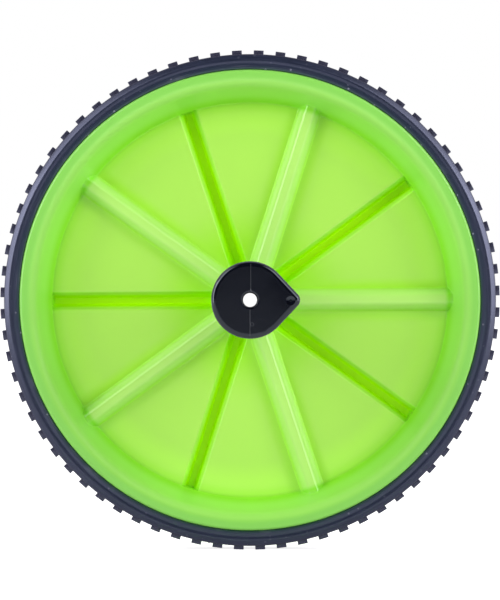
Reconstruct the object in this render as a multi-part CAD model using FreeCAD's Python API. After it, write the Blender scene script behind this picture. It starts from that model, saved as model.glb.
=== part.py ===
"""Single-wheel abdominal roller, built in millimetres.

The axle lies along Y, +Z is up, and the origin is the centre of the wheel on the axle's line.
A lime moulded wheel with a black block-tread tyre turns on two flanged bushes round a steel tube.
A finger-grooved moulded handle is pressed over each end of the tube.
The right handle is on the -Y side and the left handle on the +Y side.
"""

import FreeCAD, Part
import math
import os

from FreeCAD import Vector

# Axle, bushes and washers
AXLE_RADIUS = 6.0
AXLE_WALL = 1.5
BUSH_RUNNING_CLEARANCE = 0.05
BUSH_WALL = 1.95
BUSH_LENGTH = 10.0
BUSH_FLANGE_LIP = 2.2
BUSH_FLANGE_THICKNESS = 1.5
WASHER_BORE_CLEARANCE = 0.15
WASHER_OVERHANG = 0.6
WASHER_THICKNESS = 1.0
END_FLOAT = 0.3

# Wheel moulding
RIM_LIP_RADIUS = 85.3
RIM_DEPTH = 11.6
RIM_WIDTH = 30.0
RIM_WALL = 2.4
RIM_BEND_RADIUS = 1.6
LIP_LAND = 3.0
LIP_EDGE_ROUND = 1.0
WEB_THICKNESS = 2.2
CHANNEL_BED_WIDTH = 7.2
HUB_LENGTH = 27.0
HUB_WALL = 3.5

# Spokes: every rib on one face of the web is hollowed from the other face, where it shows as a groove
SPOKE_COUNT = 10
RIB_BASE = 8.7
RIB_CROWN = 3.6
RIB_HEIGHT = 4.5
RIB_ROUND = 1.2
RIB_CROWN_WALL = 2.2
RIB_SIDE_WALL = 1.1
GROOVE_DRAFT = 1.95
GROOVE_RIM_GAP = 0.4
GROOVE_HUB_GAP = 1.5

# Tyre
TYRE_BAND = 5.8
TYRE_SIDE_SETBACK = 0.8
TYRE_SHOULDER_WIDTH = 1.95
TYRE_SHOULDER_SLOPE = 31.0
TYRE_SHOULDER_ROUND = 0.6
TYRE_FOOT_CLEARANCE = 0.25
SIDEWALL_GROOVE_HEIGHT = 2.4
SIDEWALL_GROOVE_HALF_WIDTH = 0.9
SIDEWALL_GROOVE_DEPTH = 0.2
BLOCK_COUNT = 72
BLOCK_ROWS = 3
BLOCK_LENGTH = 3.75
BLOCK_HEIGHT = 1.4
BLOCK_ROOT_DEPTH = 0.8
BLOCK_START_ANGLE = 2.7
ROW_GAP = 1.3
TREAD_SETBACK = 1.7

# Handles: each cross-section is a drop, a round palm side running into a pointed finger ridge
HANDLE_LENGTH = 110.0
HANDLE_END_WALL = 4.0
END_HOLE_RADIUS = 2.77
GRIP_WALL = 5.0
PALM_SWELL = 0.8
FINGER_COUNT = 4
FINGER_TIP_ROUND = 3.4
FINGER_RIDGE_PROUD = 3.6
FINGER_SCOOP_PROUD = 1.2
FLANGE_LIP = 2.6
FLANGE_THICKNESS = 7.0
FLANGE_ROUND = 1.6
FLANGE_TIP_PROUD = 3.96
FLANGE_TIP_ROUND = 2.92
GRIP_OVERLAP = 2.5
SECTIONS_PER_FINGER = 4

# Places worked out from the sizes above
BUSH_BORE_RADIUS = AXLE_RADIUS + BUSH_RUNNING_CLEARANCE
BUSH_RADIUS = BUSH_BORE_RADIUS + BUSH_WALL
BUSH_FLANGE_RADIUS = BUSH_RADIUS + BUSH_FLANGE_LIP
WASHER_RADIUS = BUSH_FLANGE_RADIUS + WASHER_OVERHANG
HUB_RADIUS = BUSH_RADIUS + HUB_WALL
HUB_END = HUB_LENGTH / 2
BUSH_FACE = HUB_END + BUSH_FLANGE_THICKNESS
WASHER_FACE = BUSH_FACE + END_FLOAT
HANDLE_START = WASHER_FACE + WASHER_THICKNESS
HANDLE_END = HANDLE_START + HANDLE_LENGTH
AXLE_END = HANDLE_END - HANDLE_END_WALL
PALM_RADIUS = AXLE_RADIUS + GRIP_WALL
FLANGE_PALM_RADIUS = PALM_RADIUS + FLANGE_LIP
LIP_FACE = RIM_WIDTH / 2
WEB_RADIUS = RIM_LIP_RADIUS - RIM_DEPTH
WEB_FACE = WEB_THICKNESS / 2
BED_EDGE = CHANNEL_BED_WIDTH / 2
RIB_TOP = WEB_FACE + RIB_HEIGHT
GROOVE_MOUTH = RIB_BASE - 2 * RIB_SIDE_WALL
GROOVE_FLOOR = GROOVE_MOUTH - 2 * GROOVE_DRAFT
TYRE_FACE = LIP_FACE - TYRE_SIDE_SETBACK
TREAD_BASE_RADIUS = RIM_LIP_RADIUS + TYRE_BAND
SHOULDER_SLANT = math.radians(TYRE_SHOULDER_SLOPE)
SHOULDER_FALL = (TYRE_SHOULDER_WIDTH - TYRE_SHOULDER_ROUND) * math.tan(SHOULDER_SLANT)
SHOULDER_FOOT = TYRE_FACE - SHOULDER_FALL - TYRE_SHOULDER_ROUND / math.cos(SHOULDER_SLANT)
TREAD_RADIUS = TREAD_BASE_RADIUS + BLOCK_HEIGHT
TREAD_FACE = TYRE_FACE - TREAD_SETBACK

ORIGIN = Vector(0, 0, 0)
AXLE_LINE = Vector(0, 1, 0)
SAME_PLACE = 0.001


def line(start, end):
    """A straight edge between two (radius, along-axle) points of a turned outline."""
    return Part.LineSegment(Vector(*start, 0), Vector(*end, 0)).toShape()


def arc(start, middle, end):
    """A round edge through three (radius, along-axle) points of a turned outline."""
    return Part.Arc(Vector(*start, 0), Vector(*middle, 0), Vector(*end, 0)).toShape()


def turned(edges):
    """The solid made by turning a closed outline round the axle's line."""
    wire = Part.Wire(Part.__sortEdges__(edges))
    return Part.Face(wire).revolve(ORIGIN, AXLE_LINE, 360)


def ring(inner_radius, outer_radius, start, end):
    """A plain ring between two places along the axle."""
    corners = [(inner_radius, start), (outer_radius, start), (outer_radius, end), (inner_radius, end)]
    return turned([line(corner, corners[index - 1]) for index, corner in enumerate(corners)])


def round_bar(radius, start, end):
    """A plain round bar along the axle, for cutting a hole."""
    return Part.makeCylinder(radius, end - start, Vector(0, start, 0), AXLE_LINE)


def on_circle(centre, radius, angle):
    """A point of a circle in the outline's plane."""
    return (centre[0] + radius * math.cos(angle), centre[1] + radius * math.sin(angle))


def on_side(edges, side):
    """Outline edges drawn for the +Y side, or their reflection on the -Y side."""
    if side > 0:
        return edges
    return [edge.mirror(ORIGIN, AXLE_LINE) for edge in edges]


class RimWall:
    """The slanted line, bend and lip that a rim flange follows on the +Y side, at a depth in its wall."""

    def __init__(self, depth):
        bend = RIM_BEND_RADIUS + RIM_WALL
        self.centre = (RIM_LIP_RADIUS - LIP_LAND, LIP_FACE - bend)
        across = self.centre[0] - WEB_RADIUS
        along = self.centre[1] - WEB_FACE
        reach = math.hypot(across, along)
        self.lean = math.atan2(along, across) + math.asin(bend / reach)
        self.radius = bend - depth
        self.foot = (WEB_RADIUS + depth * math.sin(self.lean), WEB_FACE - depth * math.cos(self.lean))
        self.tangent = on_circle(self.centre, self.radius, self.lean + math.pi / 2)
        self.middle = on_circle(self.centre, self.radius, self.lean / 2 + math.pi / 2)
        self.top = on_circle(self.centre, self.radius, math.pi / 2)
        self.lip = (RIM_LIP_RADIUS, self.top[1])

    def at(self, along):
        """The point of the slanted line at this place along the axle."""
        return (self.foot[0] + (along - self.foot[1]) / math.tan(self.lean), along)


def wheel_outline():
    """The wheel's outline on the +Y side, from the hub's bore round to the channel's bed."""
    outer = RimWall(0)
    inner = RimWall(RIM_WALL)
    edge_centre = (RIM_LIP_RADIUS - LIP_EDGE_ROUND, LIP_FACE - LIP_EDGE_ROUND)
    edge_start = on_circle(edge_centre, LIP_EDGE_ROUND, math.pi / 2)
    edge_middle = on_circle(edge_centre, LIP_EDGE_ROUND, math.pi / 4)
    edge_end = on_circle(edge_centre, LIP_EDGE_ROUND, 0)
    return [
        line((BUSH_RADIUS, HUB_END), (HUB_RADIUS, HUB_END)),
        line((HUB_RADIUS, HUB_END), (HUB_RADIUS, WEB_FACE)),
        line((HUB_RADIUS, WEB_FACE), outer.foot),
        line(outer.foot, outer.tangent),
        arc(outer.tangent, outer.middle, outer.top),
        line(outer.top, edge_start),
        arc(edge_start, edge_middle, edge_end),
        line(edge_end, inner.lip),
        line(inner.lip, inner.top),
        arc(inner.top, inner.middle, inner.tangent),
        line(inner.tangent, inner.at(BED_EDGE)),
    ]


def bar_along_spoke(section, start, end):
    """A bar along +X with a section of (across, along-axle) points, between two distances from the axle."""
    points = [Vector(start, along, across) for across, along in section]
    wire = Part.makePolygon(points + points[:1])
    return Part.Face(wire).extrude(Vector(end - start, 0, 0))


def runs_along_crown(edge):
    """Whether an edge of a rib on the +Y side runs along its crown."""
    ends = [vertex.Point for vertex in edge.Vertexes]
    at_crown = all(abs(point.y - RIB_TOP) < SAME_PLACE for point in ends)
    return at_crown and abs(ends[0].x - ends[1].x) > SAME_PLACE


def spoke_rib():
    """One raised rib on the web's +Y face, from inside the hub's wall to inside the rim's wall."""
    section = [
        (-RIB_BASE / 2, 0),
        (-RIB_BASE / 2, WEB_FACE),
        (-RIB_CROWN / 2, RIB_TOP),
        (RIB_CROWN / 2, RIB_TOP),
        (RIB_BASE / 2, WEB_FACE),
        (RIB_BASE / 2, 0),
    ]
    start = HUB_RADIUS - HUB_WALL / 2
    end = RimWall(RIM_WALL / 2).at(RIB_TOP)[0]
    rib = bar_along_spoke(section, start, end)
    return rib.makeFillet(RIB_ROUND, [edge for edge in rib.Edges if runs_along_crown(edge)])


def spoke_groove():
    """The hollow under a rib of the +Y face, open on the web's -Y face."""
    floor = RIB_TOP - RIB_CROWN_WALL
    clear_of_web = -RIB_TOP
    section = [
        (-GROOVE_MOUTH / 2, clear_of_web),
        (-GROOVE_MOUTH / 2, -WEB_FACE),
        (-GROOVE_FLOOR / 2, floor),
        (GROOVE_FLOOR / 2, floor),
        (GROOVE_MOUTH / 2, -WEB_FACE),
        (GROOVE_MOUTH / 2, clear_of_web),
    ]
    return bar_along_spoke(section, HUB_RADIUS + GROOVE_HUB_GAP, WEB_RADIUS - GROOVE_RIM_GAP)


def round_the_hub(shape):
    """Copies of a spoke's shape at every spoke, on the -Y and the +Y face in turn."""
    copies = []
    for index in range(SPOKE_COUNT):
        copy = shape.copy()
        if index % 2 == 0:
            copy.rotate(ORIGIN, Vector(1, 0, 0), 180)
        copy.rotate(ORIGIN, AXLE_LINE, 360.0 / SPOKE_COUNT * index)
        copies.append(copy)
    return copies


def wheel_disc():
    """The one-piece wheel: hub, ribbed web and a rim with a channel for the tyre's foot."""
    bed = RimWall(RIM_WALL).at(BED_EDGE)
    edges = on_side(wheel_outline(), 1) + on_side(wheel_outline(), -1)
    edges.append(line(bed, (bed[0], -bed[1])))
    edges.append(line((BUSH_RADIUS, HUB_END), (BUSH_RADIUS, -HUB_END)))
    ribbed = turned(edges).fuse(round_the_hub(spoke_rib()))
    return ribbed.cut(round_the_hub(spoke_groove())).removeSplitter()


def tyre_foot():
    """The line that the tyre's foot follows inside the rim's channel."""
    return RimWall(RIM_WALL + TYRE_FOOT_CLEARANCE)


def tyre_outline():
    """The tyre's outline on the +Y side, from its foot round to its tread."""
    foot = tyre_foot()
    groove = RIM_LIP_RADIUS + SIDEWALL_GROOVE_HEIGHT
    groove_start = (groove - SIDEWALL_GROOVE_HALF_WIDTH, TYRE_FACE)
    groove_middle = (groove, TYRE_FACE - SIDEWALL_GROOVE_DEPTH)
    groove_end = (groove + SIDEWALL_GROOVE_HALF_WIDTH, TYRE_FACE)
    slope_start = (TREAD_BASE_RADIUS - TYRE_SHOULDER_WIDTH, TYRE_FACE)
    centre = (TREAD_BASE_RADIUS - TYRE_SHOULDER_ROUND, SHOULDER_FOOT)
    slope_normal = math.pi / 2 - SHOULDER_SLANT
    slope_end = on_circle(centre, TYRE_SHOULDER_ROUND, slope_normal)
    shoulder_middle = on_circle(centre, TYRE_SHOULDER_ROUND, slope_normal / 2)
    shoulder_end = on_circle(centre, TYRE_SHOULDER_ROUND, 0)
    seat_edge = (RIM_LIP_RADIUS, TYRE_FACE)
    return [
        line(foot.at(BED_EDGE), foot.tangent),
        arc(foot.tangent, foot.middle, foot.top),
        line(foot.top, foot.lip),
        line(foot.lip, seat_edge),
        line(seat_edge, groove_start),
        arc(groove_start, groove_middle, groove_end),
        line(groove_end, slope_start),
        line(slope_start, slope_end),
        arc(slope_end, shoulder_middle, shoulder_end),
    ]


def tread_row(start, end):
    """One row of tread blocks on a ring whose root is sunk in the tyre's band."""
    root = TREAD_BASE_RADIUS - BLOCK_ROOT_DEPTH
    half_angle = math.asin(BLOCK_LENGTH / 2 / TREAD_RADIUS)
    corners = [
        (root, -half_angle),
        (TREAD_RADIUS, -half_angle),
        (TREAD_RADIUS, half_angle),
        (root, half_angle),
    ]
    points = []
    for index in range(BLOCK_COUNT):
        middle = math.radians(BLOCK_START_ANGLE + 360.0 / BLOCK_COUNT * index)
        for radius, turn in corners:
            points.append(Vector(radius * math.cos(middle + turn), start, radius * math.sin(middle + turn)))
    outside = Part.makePolygon(points + points[:1])
    inside = Part.makeCircle(root - BLOCK_ROOT_DEPTH, Vector(0, start, 0), AXLE_LINE)
    face = Part.Face(outside).cut(Part.Face(Part.Wire(inside)))
    return face.extrude(Vector(0, end - start, 0))


def tread_rows():
    """Every row of tread blocks, side by side across the tyre."""
    width = (2 * TREAD_FACE - (BLOCK_ROWS - 1) * ROW_GAP) / BLOCK_ROWS
    starts = [-TREAD_FACE + index * (width + ROW_GAP) for index in range(BLOCK_ROWS)]
    return [tread_row(start, start + width) for start in starts]


def tyre():
    """The tyre: a band with a foot in the rim's channel and rows of square tread blocks."""
    foot = tyre_foot().at(BED_EDGE)
    tread_edge = (TREAD_BASE_RADIUS, SHOULDER_FOOT)
    edges = on_side(tyre_outline(), 1) + on_side(tyre_outline(), -1)
    edges.append(line(foot, (foot[0], -foot[1])))
    edges.append(line(tread_edge, (tread_edge[0], -tread_edge[1])))
    return turned(edges).fuse(tread_rows()).removeSplitter()


def hub_bush():
    """The flanged bush on the +Y side: a sleeve pressed in the hub and a flange over the hub's end."""
    sleeve = ring(BUSH_BORE_RADIUS, BUSH_RADIUS, HUB_END - BUSH_LENGTH, BUSH_FACE)
    flange = ring(BUSH_BORE_RADIUS, BUSH_FLANGE_RADIUS, HUB_END, BUSH_FACE)
    return sleeve.fuse(flange).removeSplitter()


def thrust_washer():
    """The steel washer on the +Y side that keeps the bush's flange off the handle."""
    return ring(AXLE_RADIUS + WASHER_BORE_CLEARANCE, WASHER_RADIUS, WASHER_FACE, HANDLE_START)


def axle_tube():
    """The steel tube that carries the wheel and both handles."""
    return ring(AXLE_RADIUS - AXLE_WALL, AXLE_RADIUS, -AXLE_END, AXLE_END)


def drop_wire(along, palm_radius, proud, tip_round):
    """A drop outline across the axle: a palm circle and a tip circle joined by their common tangents.

    The tip reaches the given distance further out than the palm circle, towards +X.
    """
    tip_centre = palm_radius + proud - tip_round
    slant = math.acos((palm_radius - tip_round) / tip_centre)
    palm_half_way = (slant + math.pi) / 2

    def palm(angle):
        return Vector(palm_radius * math.cos(angle), along, palm_radius * math.sin(angle))

    def tip(angle):
        return Vector(tip_centre + tip_round * math.cos(angle), along, tip_round * math.sin(angle))

    return Part.Wire([
        Part.Arc(palm(slant), palm(palm_half_way), palm(math.pi)).toShape(),
        Part.Arc(palm(math.pi), palm(-palm_half_way), palm(-slant)).toShape(),
        Part.LineSegment(palm(-slant), tip(-slant)).toShape(),
        Part.Arc(tip(-slant), tip(0), tip(slant)).toShape(),
        Part.LineSegment(tip(slant), palm(slant)).toShape(),
    ])


def handle_flange(start):
    """One end flange of a handle, with both its rims rounded."""
    outline = drop_wire(start, FLANGE_PALM_RADIUS, FLANGE_TIP_PROUD, FLANGE_TIP_ROUND)
    block = Part.Face(outline).extrude(Vector(0, FLANGE_THICKNESS, 0))
    rims = [edge for edge in block.Edges if edge.BoundBox.YLength < SAME_PLACE]
    return block.makeFillet(FLANGE_ROUND, rims)


def grip():
    """The gripped length of a handle: the palm side swells and the finger side has one scoop per finger."""
    start = HANDLE_START + FLANGE_THICKNESS - GRIP_OVERLAP
    end = HANDLE_END - FLANGE_THICKNESS + GRIP_OVERLAP
    steps = FINGER_COUNT * SECTIONS_PER_FINGER
    wires = []
    for index in range(steps + 1):
        share = index / steps
        scoop = (1 - math.cos(2 * math.pi * FINGER_COUNT * share)) / 2
        palm = PALM_RADIUS + PALM_SWELL * math.sin(math.pi * share)
        proud = FINGER_RIDGE_PROUD + (FINGER_SCOOP_PROUD - FINGER_RIDGE_PROUD) * scoop
        wires.append(drop_wire(start + (end - start) * share, palm, proud, FINGER_TIP_ROUND))
    return Part.makeLoft(wires, True, False)


def handle():
    """The handle on the +Y side, with a blind bore for the tube and a core hole through its end wall."""
    body = grip().fuse([handle_flange(HANDLE_START), handle_flange(HANDLE_END - FLANGE_THICKNESS)])
    axle_bore = round_bar(AXLE_RADIUS, HANDLE_START, AXLE_END)
    end_hole = round_bar(END_HOLE_RADIUS, AXLE_END, HANDLE_END)
    return body.cut([axle_bore, end_hole]).removeSplitter()


def on_right(shape):
    """The same piece on the -Y side: half a turn about X keeps a handle's finger ridge towards +X."""
    other = shape.copy()
    other.rotate(ORIGIN, Vector(1, 0, 0), 180)
    return other


def main():
    """Builds every piece and writes each to its own file."""
    pieces = {"axle_tube": axle_tube(), "wheel_disc": wheel_disc(), "tyre": tyre()}
    for name, shape in (("handle", handle()), ("hub_bush", hub_bush()), ("thrust_washer", thrust_washer())):
        pieces[name + "_left"] = shape
        pieces[name + "_right"] = on_right(shape)
    os.makedirs("parts", exist_ok=True)
    for name, shape in pieces.items():
        shape.exportStep("parts/" + name + ".step")
        print(name, "solids", len(shape.Solids), "valid", shape.isValid(), "volume", round(shape.Volume, 1))


main()
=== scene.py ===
"""Dresses the single-wheel abdominal roller in its finishes and sets it in a white studio.

Sizes are in millimetres and become metres when a mesh is made. The axle lies along Y, the camera
stands on the -Y side and looks along +Y, +X is to its right and +Z is up.
"""

import logging
import math
from dataclasses import dataclass, field
from enum import Enum
from typing import Callable

import bmesh
import bpy
import numpy as np
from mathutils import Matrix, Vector


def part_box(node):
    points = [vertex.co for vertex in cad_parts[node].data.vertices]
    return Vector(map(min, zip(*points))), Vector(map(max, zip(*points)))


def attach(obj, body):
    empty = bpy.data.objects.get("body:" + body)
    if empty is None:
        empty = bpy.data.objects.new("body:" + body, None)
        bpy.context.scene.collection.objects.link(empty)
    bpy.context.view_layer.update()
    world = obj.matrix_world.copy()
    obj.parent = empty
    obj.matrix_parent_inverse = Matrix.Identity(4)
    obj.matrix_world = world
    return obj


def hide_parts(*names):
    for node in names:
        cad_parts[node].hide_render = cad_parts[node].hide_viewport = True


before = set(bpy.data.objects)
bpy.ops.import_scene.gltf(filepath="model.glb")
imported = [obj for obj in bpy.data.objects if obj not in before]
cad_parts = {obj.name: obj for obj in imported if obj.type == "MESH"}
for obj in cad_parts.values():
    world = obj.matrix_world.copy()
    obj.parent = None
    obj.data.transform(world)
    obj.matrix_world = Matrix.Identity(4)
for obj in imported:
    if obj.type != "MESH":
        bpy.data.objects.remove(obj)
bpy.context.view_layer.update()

log = logging.getLogger("roller")

MM = 0.001  # one millimetre, in metres
WELD = 0.002  # points closer than this become one
FLAT_ANGLE = math.radians(38)  # an edge that turns further than this stays sharp

Colour = tuple[float, float, float]
Place = tuple[float, float, float]
Ring = tuple[float, float, float]
Point = tuple[float, float]
Span = tuple[float, float]
Material = bpy.types.Material
Piece = bpy.types.Object
Socket = bpy.types.NodeSocket


class Body(Enum):
    """The rigid bodies that pieces ride on."""

    FRAME = "axle_and_handles"
    WHEEL = "wheel"


class Side(Enum):
    """The two ends of the axle, by the sign of Y."""

    RIGHT = -1
    LEFT = 1

    @property
    def word(self) -> str:
        """The side as it stands in the names of pieces and solids."""
        return self.name.lower()


class Spoke(Enum):
    """How a spoke shows on one face of the web."""

    RAISED = 1
    SUNK = -1

    @property
    def other(self) -> "Spoke":
        """How its neighbour shows on the same face."""
        return Spoke(-self.value)


# Helpers for sizes and curves


def node_reach(node: str, axis: int) -> float:
    """How far a solid of the frame reaches from the origin along axis 0, 1 or 2, in millimetres."""
    low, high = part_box(node)
    return max(abs(low[axis]), abs(high[axis])) / MM


def smooth_max(first: np.ndarray, second: np.ndarray | float, blend: float) -> np.ndarray:
    """The larger of two heights, with the corner filled where they differ by less than blend."""
    share = np.clip(0.5 + 0.5 * (first - second) / blend, 0.0, 1.0)
    return second + (first - second) * share + blend * share * (1.0 - share)


def smooth_min(first: np.ndarray, second: np.ndarray | float, blend: float) -> np.ndarray:
    """The smaller of two heights, with the corner rounded where they differ by less than blend."""
    return -smooth_max(-first, -np.asarray(second), blend)


def ease(value: np.ndarray, start: float, end: float) -> np.ndarray:
    """A share that goes smoothly from 0 where the value is start to 1 where it is end."""
    share = np.clip((value - start) / (end - start), 0.0, 1.0)
    return share * share * (3.0 - 2.0 * share)


def ridge(aside: np.ndarray, base: float, crown: float, height: float, crown_round: float,
          foot_round: float) -> np.ndarray:
    """The height of a long ridge with slanted flanks.

    Args:
        aside: Distances from its middle line.
        base: Its width at the foot.
        crown: Its width at the top.
        height: How high the top stands.
        crown_round: How far the top's edges are rounded.
        foot_round: How far the foot's corners are filled.

    Returns:
        The heights at those distances.
    """
    flank = (base / 2 - aside) * height / (base - crown) * 2
    crowned = smooth_min(flank, height, crown_round * 2)
    return smooth_max(crowned, 0.0, foot_round * 2)


def without_repeats(values: np.ndarray, least: float) -> np.ndarray:
    """Values in their order, without those that differ from the one before by no more than least."""
    keep = np.concatenate([[True], np.abs(np.diff(values)) > least])
    return values[keep]


def runs(*stretches: tuple[float, float, int]) -> np.ndarray:
    """Values along joined stretches, each given by its start, its end and its number of equal steps."""
    values = [np.linspace(start, end, steps + 1) for start, end, steps in stretches]
    return without_repeats(np.concatenate(values), WELD)


def arc_points(centre: Point, radius: float, start: float, end: float, steps: int) -> list[Point]:
    """The points of an arc between two angles in degrees, cut into equal steps."""
    angles = np.radians(np.linspace(start, end, steps + 1))
    return [(centre[0] + radius * math.cos(a), centre[1] + radius * math.sin(a)) for a in angles]


def quarter_round(size: float, degrees: np.ndarray | tuple[float, ...]) -> list[Point]:
    """How far a rounded edge is from each of the two faces that it joins, at some angles."""
    return [(size * (1 - math.sin(a)), size * (1 - math.cos(a))) for a in np.radians(degrees)]


def rounded_corner(before: Point, corner: Point, after: Point, radius: float, steps: int) -> list[Point]:
    """Points of the round that replaces a corner of an outline.

    Args:
        before: A point on the stretch that leads to the corner.
        corner: The corner.
        after: A point on the stretch that leads away from it.
        radius: The round's radius.
        steps: How many equal steps it is cut into.

    Returns:
        The points, from the one on the first stretch to the one on the second.
    """
    tip = np.array(corner)
    arm_in, arm_out = ((arm - tip) / np.linalg.norm(arm - tip) for arm in np.array([before, after]))
    half = math.acos(float(arm_in @ arm_out)) / 2
    bisector = (arm_in + arm_out) / np.linalg.norm(arm_in + arm_out)
    centre = tip + bisector * radius / math.sin(half)
    first = tip + arm_in * radius / math.tan(half) - centre
    last = tip + arm_out * radius / math.tan(half) - centre
    turn = math.pi - 2 * half
    points = []
    for share in np.linspace(0.0, 1.0, steps + 1):
        of_first = math.sin((1 - share) * turn) / math.sin(turn)
        of_last = math.sin(share * turn) / math.sin(turn)
        points.append(tuple(centre + first * of_first + last * of_last))
    return points


def mirrored(half: list[Point]) -> list[Point]:
    """A whole outline from its half on the +Y side, which comes last and runs back to the start."""
    return [(radius, -along) for radius, along in half] + half[::-1]


def full_turn(steps: int) -> np.ndarray:
    """Equal angles once round, without the repeated last one."""
    return np.linspace(0.0, math.tau, steps, endpoint=False)


# Helpers for meshes


@dataclass
class Surface:
    """Points in millimetres and the faces between them, gathered before they become one mesh."""

    points: list[np.ndarray] = field(default_factory=list)
    faces: list[tuple[int, ...]] = field(default_factory=list)
    count: int = 0

    def add_grid(self, grid: np.ndarray, close_rows: bool = False, close_columns: bool = False) -> None:
        """Adds a grid of points as four-sided faces.

        Args:
            grid: Points as an array of rows, columns and coordinates.
            close_rows: Whether the last row joins the first.
            close_columns: Whether the last column joins the first.
        """
        rows, columns = grid.shape[:2]
        for row in range(rows if close_rows else rows - 1):
            below = (row + 1) % rows
            for column in range(columns if close_columns else columns - 1):
                beside = (column + 1) % columns
                corners = ((row, column), (row, beside), (below, beside), (below, column))
                self.faces.append(tuple(self.count + r * columns + c for r, c in corners))
        self.points.append(grid.reshape(-1, 3))
        self.count += rows * columns

    def add_mesh(self, mesh: bpy.types.Mesh) -> None:
        """Adds a finished mesh.

        Args:
            mesh: The mesh, which is in metres.
        """
        self.faces.extend(tuple(self.count + v for v in face.vertices) for face in mesh.polygons)
        self.points.append(np.array([vertex.co for vertex in mesh.vertices]) / MM)
        self.count += len(mesh.vertices)

    def build(self, name: str, material: Material) -> Piece:
        """Makes the object, with doubles merged, faces outwards and smooth shading between sharp edges.

        Args:
            name: The object's name.
            material: Its only material.

        Returns:
            The object, linked to the scene.
        """
        mesh = bpy.data.meshes.new(name)
        mesh.from_pydata(np.concatenate(self.points) * MM, [], self.faces)
        shape = bmesh.new()
        shape.from_mesh(mesh)
        bmesh.ops.remove_doubles(shape, verts=shape.verts, dist=WELD * MM)
        bmesh.ops.recalc_face_normals(shape, faces=shape.faces)
        shape.to_mesh(mesh)
        shape.free()
        mesh.shade_smooth()
        mesh.set_sharp_from_angle(angle=FLAT_ANGLE)
        mesh.materials.append(material)
        return linked(name, mesh)


def linked(name: str, data: bpy.types.ID) -> Piece:
    """Makes an object of a mesh, a lamp or a camera.

    Args:
        name: The object's name.
        data: What it holds.

    Returns:
        The object, linked to the scene.
    """
    made = bpy.data.objects.new(name, data)
    bpy.context.scene.collection.objects.link(made)
    return made


def turned_grid(outline: list[Point], angles: np.ndarray) -> np.ndarray:
    """A grid made by turning an outline round the axle.

    Args:
        outline: Points of distance from the axle and place along it.
        angles: Angles anticlockwise from +X as seen from the -Y side, in radians.

    Returns:
        The grid, one row for each outline point and one column for each angle.
    """
    flat = np.array(outline)
    radius = flat[:, :1]
    along = np.repeat(flat[:, 1:], len(angles), axis=1)
    return np.stack([radius * np.cos(angles), along, radius * np.sin(angles)], axis=-1)


# Helpers for node trees


def solid(colour: object) -> object:
    """A colour with full alpha, or the socket that was given."""
    return colour if isinstance(colour, Socket) else (*colour, 1.0)


def spaced(values: dict[str, object]) -> dict[str, object]:
    """The same values under names with a space for each underscore."""
    return {name.replace("_", " "): value for name, value in values.items()}


class Graph:
    """A node tree that is being wired up."""

    def __init__(self, tree: bpy.types.NodeTree) -> None:
        """Keeps the tree, which starts empty."""
        self.tree = tree
        self.tree.nodes.clear()

    def add(self, kind: str, inputs: dict | None = None, **settings: object) -> bpy.types.NodeOutputs:
        """Adds a node.

        Args:
            kind: The node's type name.
            inputs: Values or sockets for its inputs, by name or place.
            settings: Values for the node's own settings.

        Returns:
            The new node's outputs.
        """
        node = self.tree.nodes.new(kind)
        for name, value in settings.items():
            setattr(node, name, value)
        for key, value in (inputs or {}).items():
            if isinstance(value, Socket):
                self.tree.links.new(value, node.inputs[key])
            else:
                node.inputs[key].default_value = value
        return node.outputs

    def socket(self, name: str, kind: str, is_input: bool, default: object = None) -> None:
        """Adds a named input or output to a group.

        Args:
            name: The socket's name.
            kind: Its type name.
            is_input: Whether it is an input.
            default: Its first value, if it has one.
        """
        way = "INPUT" if is_input else "OUTPUT"
        made = self.tree.interface.new_socket(name, in_out=way, socket_type=kind)
        if default is not None:
            made.default_value = default

    def math(self, operation: str, first: object, second: object = 0.0, clamp: bool = False) -> Socket:
        """A Math node's result on two values or sockets, kept between 0 and 1 if clamp is set."""
        return self.add("ShaderNodeMath", {0: first, 1: second}, operation=operation, use_clamp=clamp)[0]

    def spread(self, value: Socket, ends: Span, to: Span = (0.0, 1.0)) -> Socket:
        """A value taken smoothly from one range to another."""
        inputs = dict(enumerate((value, *ends, *to)))
        return self.add("ShaderNodeMapRange", inputs, interpolation_type="SMOOTHSTEP")[0]

    def between(self, length: Socket, ends: Span, base: float = 0.0, to: Span = (0.0, 1.0)) -> Socket:
        """What spread gives for a length in metres, between two in millimetres counted from base."""
        return self.spread(length, ((base + ends[0]) * MM, (base + ends[1]) * MM), to)

    def blend(self, share: Socket, first: object, second: object) -> Socket:
        """A mix of two colours or sockets, with a share of the second one."""
        inputs = {0: share, 6: solid(first), 7: solid(second)}
        return self.add("ShaderNodeMix", inputs, data_type="RGBA")[2]

    def layers(self, colour: Colour, *over: tuple[Socket, Colour]) -> Socket:
        """A colour with others laid over it in turn.

        Args:
            colour: The lowest colour.
            over: The mask and the colour of each layer over it.

        Returns:
            The socket of the colour that shows.
        """
        shown = colour
        for mask, upper in over:
            shown = self.blend(mask, shown, upper)
        return shown

    def noise(self, place: Socket, scale: object, detail: float) -> Socket:
        """Soft random values through space, by the cells to a unit of place and the finer layers."""
        return self.add("ShaderNodeTexNoise", {"Vector": place, "Scale": scale, "Detail": detail})[0]

    def axes(self, vector: Socket) -> bpy.types.NodeOutputs:
        """The sockets of a vector's X, Y and Z."""
        return self.add("ShaderNodeSeparateXYZ", {0: vector})

    def axle_angle(self, place: Socket) -> Socket:
        """The angle of a place round the axle, in radians."""
        axes = self.axes(place)
        return self.math("ARCTAN2", axes["Z"], axes["X"])

    def axle_distance(self, place: Socket) -> Socket:
        """The distance of a place from the axle, in metres."""
        flat = self.add("ShaderNodeVectorMath", {0: place, 1: (1.0, 0.0, 1.0)}, operation="MULTIPLY")[0]
        return self.add("ShaderNodeVectorMath", {0: flat}, operation="LENGTH")["Value"]


# Shared surface effects


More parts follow.
